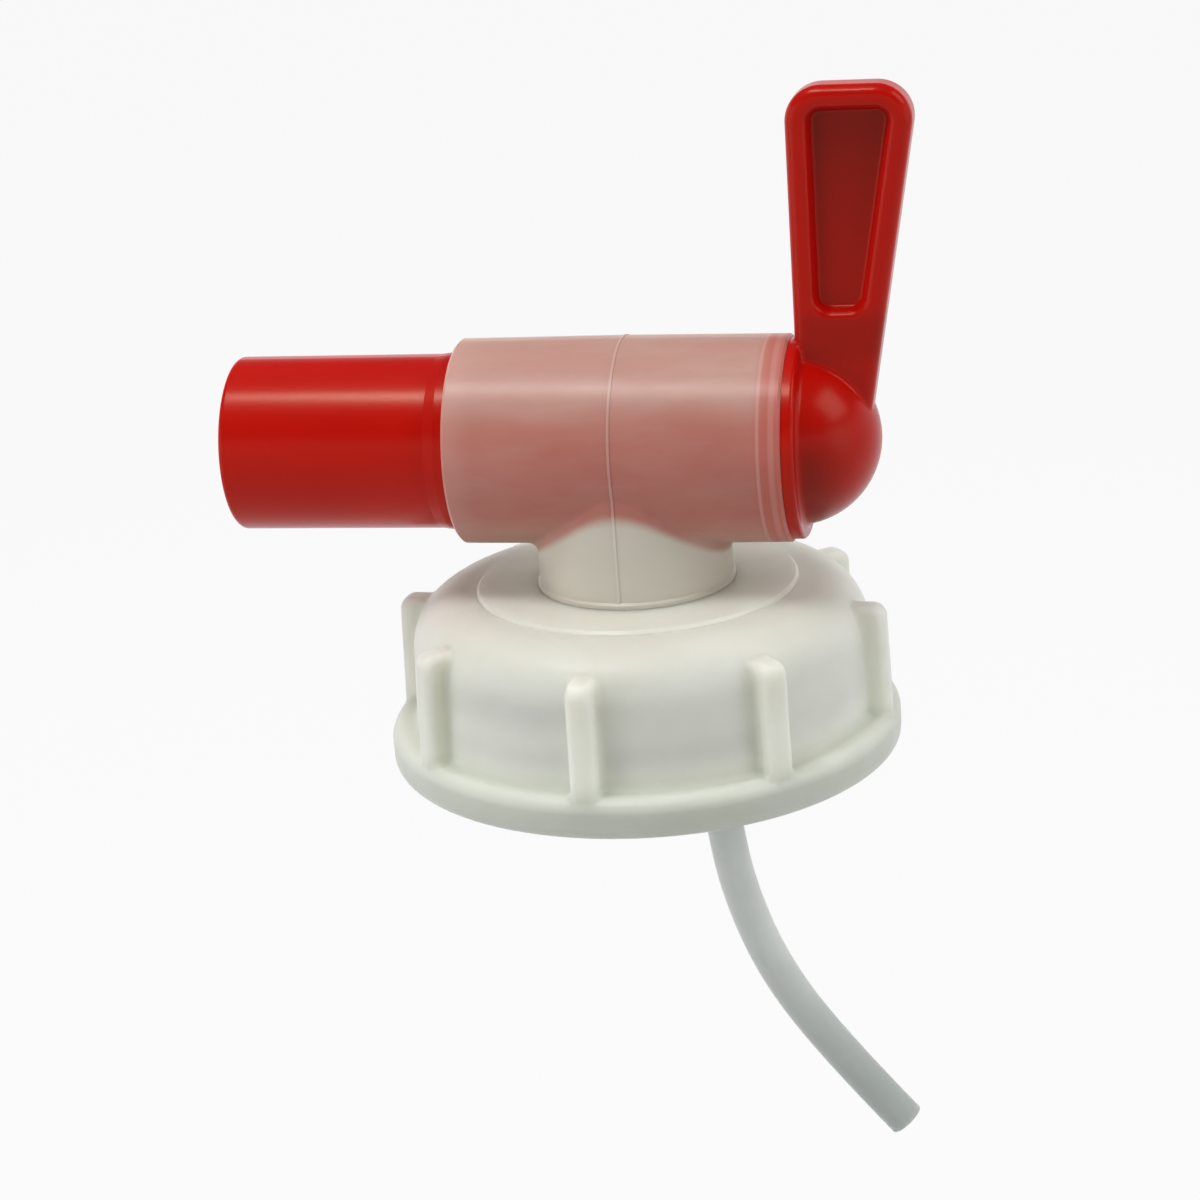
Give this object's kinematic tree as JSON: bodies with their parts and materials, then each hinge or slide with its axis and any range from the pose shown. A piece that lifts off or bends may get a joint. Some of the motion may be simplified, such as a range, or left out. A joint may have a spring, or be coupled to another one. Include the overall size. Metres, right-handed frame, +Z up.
{
  "type": "canister tap",
  "caption": "Plastic canister tap: winged screw cap, swivelling barrel, red quarter-turn key with lever and spout, and a vent hose.",
  "frame": {"origin": "centre of the cap's open mouth, on the cap's axis", "axes": "+Z up along the cap's axis, out of the canister; +X along the barrel towards the lever, so the spout points to -X"},
  "size_m": [0.0801, 0.06, 0.1284],
  "materials": {
    "red_plastic": "satin moulded polyethylene",
    "milky_barrel": "translucent moulded polyethylene",
    "milky_cap": "translucent moulded polyethylene",
    "milky_hose": "translucent extruded tube",
    "foam": "closed-cell foam"
  },
  "bodies": {
    "cap": {"screw_cap": "milky_cap", "gasket": "foam"},
    "tap": {"tap_body": "milky_barrel", "vent_hose": "milky_hose"},
    "key": {"key": "red_plastic"}
  },
  "joints": [
    {"name": "cap_swivel", "type": "hinge", "parent": "cap", "child": "tap", "pos_m": [0, 0, 0.0206], "axis": [0, 0, 1], "continuous": true},
    {"name": "key_turn", "type": "hinge", "parent": "tap", "child": "key", "pos_m": [0, 0, 0.03733], "axis": [1, 0, 0], "range_deg": [-90, 0]}
  ]
}
